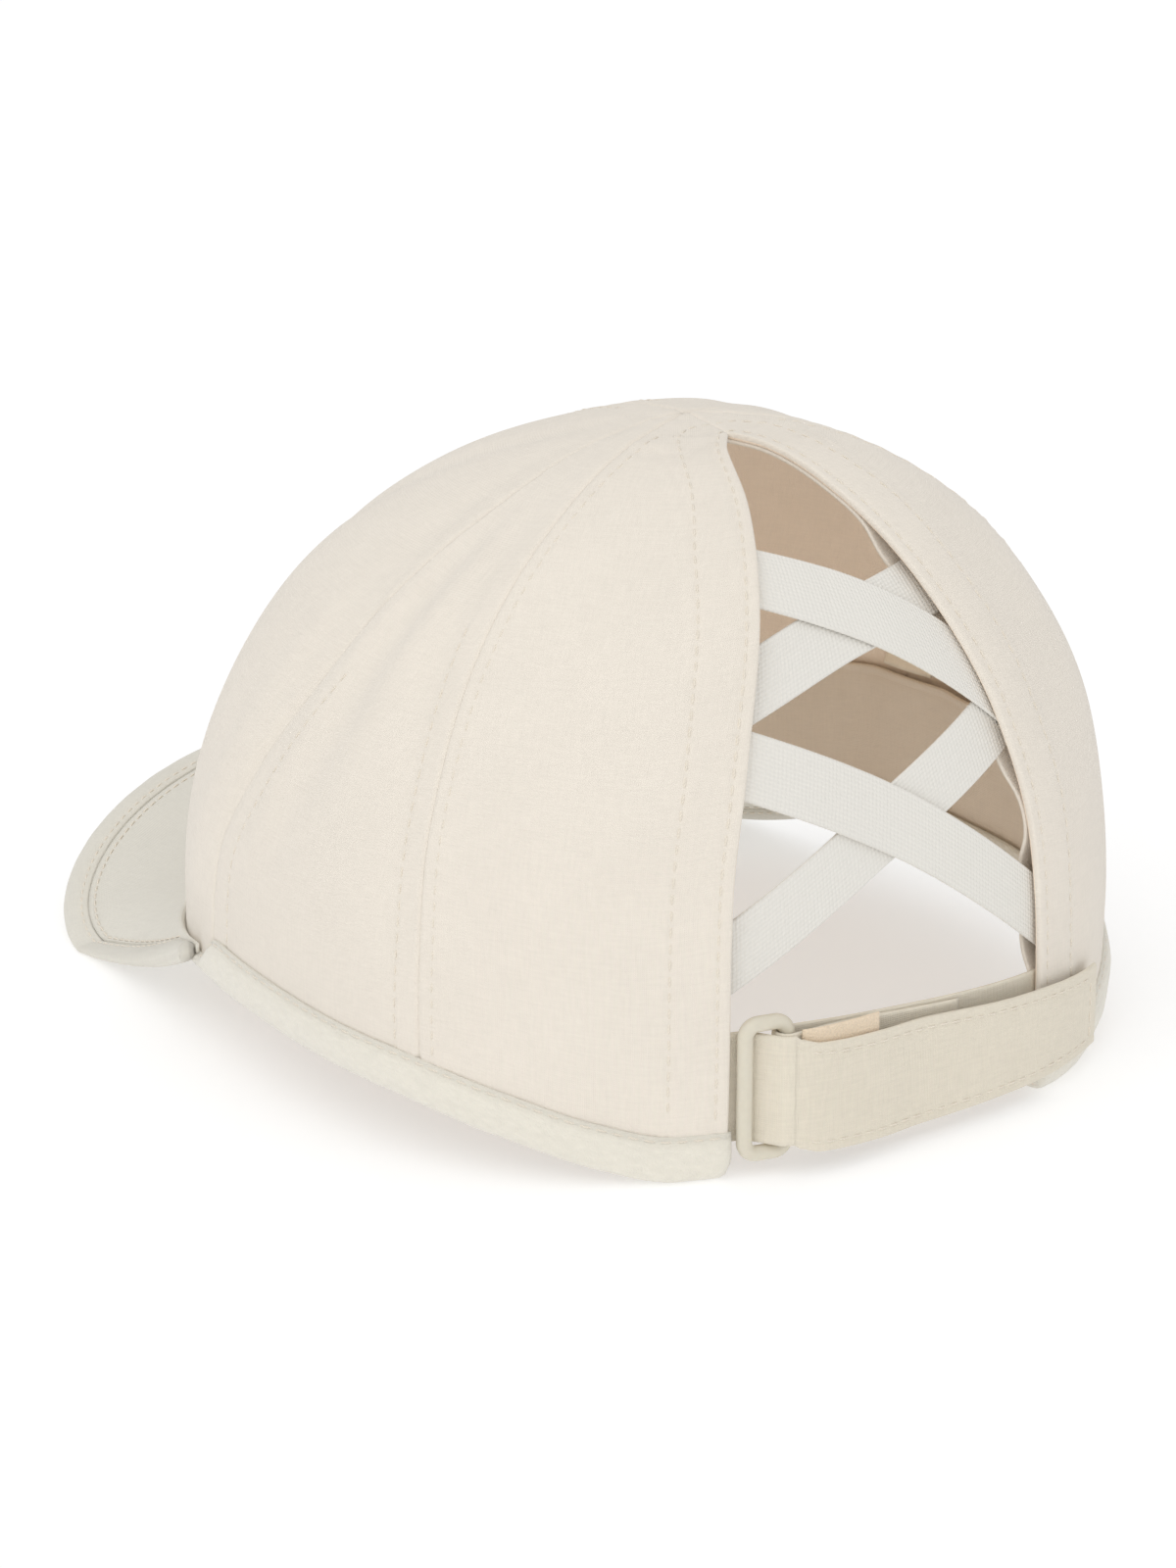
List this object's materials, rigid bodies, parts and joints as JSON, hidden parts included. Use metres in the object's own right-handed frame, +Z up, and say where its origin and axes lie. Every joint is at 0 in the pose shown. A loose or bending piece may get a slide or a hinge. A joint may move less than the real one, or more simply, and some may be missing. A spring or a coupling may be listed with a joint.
{
  "type": "ponytail baseball cap",
  "caption": "Soft panelled cap with a curved peak, a tall rear opening crossed by flat elastics, and a strap through a ring.",
  "frame": {"origin": "middle of the box the cap fills, on the surface it rests on", "axes": "-Y towards the tip of the peak, +Y out of the rear opening, +X towards the wearer's left, +Z up"},
  "size_m": [0.1774, 0.2366, 0.1258],
  "materials": {
    "crown_cloth": "washed cotton, plain weave",
    "lining_cloth": "brushed lining cloth",
    "towelling": "cotton towelling",
    "elastic": "ribbed knitted elastic",
    "strap_cloth": "stitched cotton strap",
    "loop_fastener": "loop pile",
    "moulded_plastic": "satin moulded"
  },
  "bodies": {
    "root": {"crown_front_left": "crown_cloth", "crown_front_right": "crown_cloth", "crown_side_left": "crown_cloth", "crown_side_right": "crown_cloth", "crown_rear_left": "crown_cloth", "crown_rear_right": "crown_cloth", "opening_facing": "crown_cloth", "peak": "crown_cloth", "peak_binding": "crown_cloth", "seam_tape_1": "lining_cloth", "seam_tape_2": "lining_cloth", "seam_tape_3": "lining_cloth", "seam_tape_4": "lining_cloth", "seam_tape_5": "lining_cloth", "sweatband": "lining_cloth", "hem_binding": "towelling", "elastic_upper_over": "elastic", "elastic_upper_under": "elastic", "elastic_lower_over": "elastic", "elastic_lower_under": "elastic", "closure_strap": "strap_cloth", "anchor_strap": "strap_cloth", "loop_patch": "loop_fastener", "slide_ring": "moulded_plastic"}
  },
  "joints": []
}
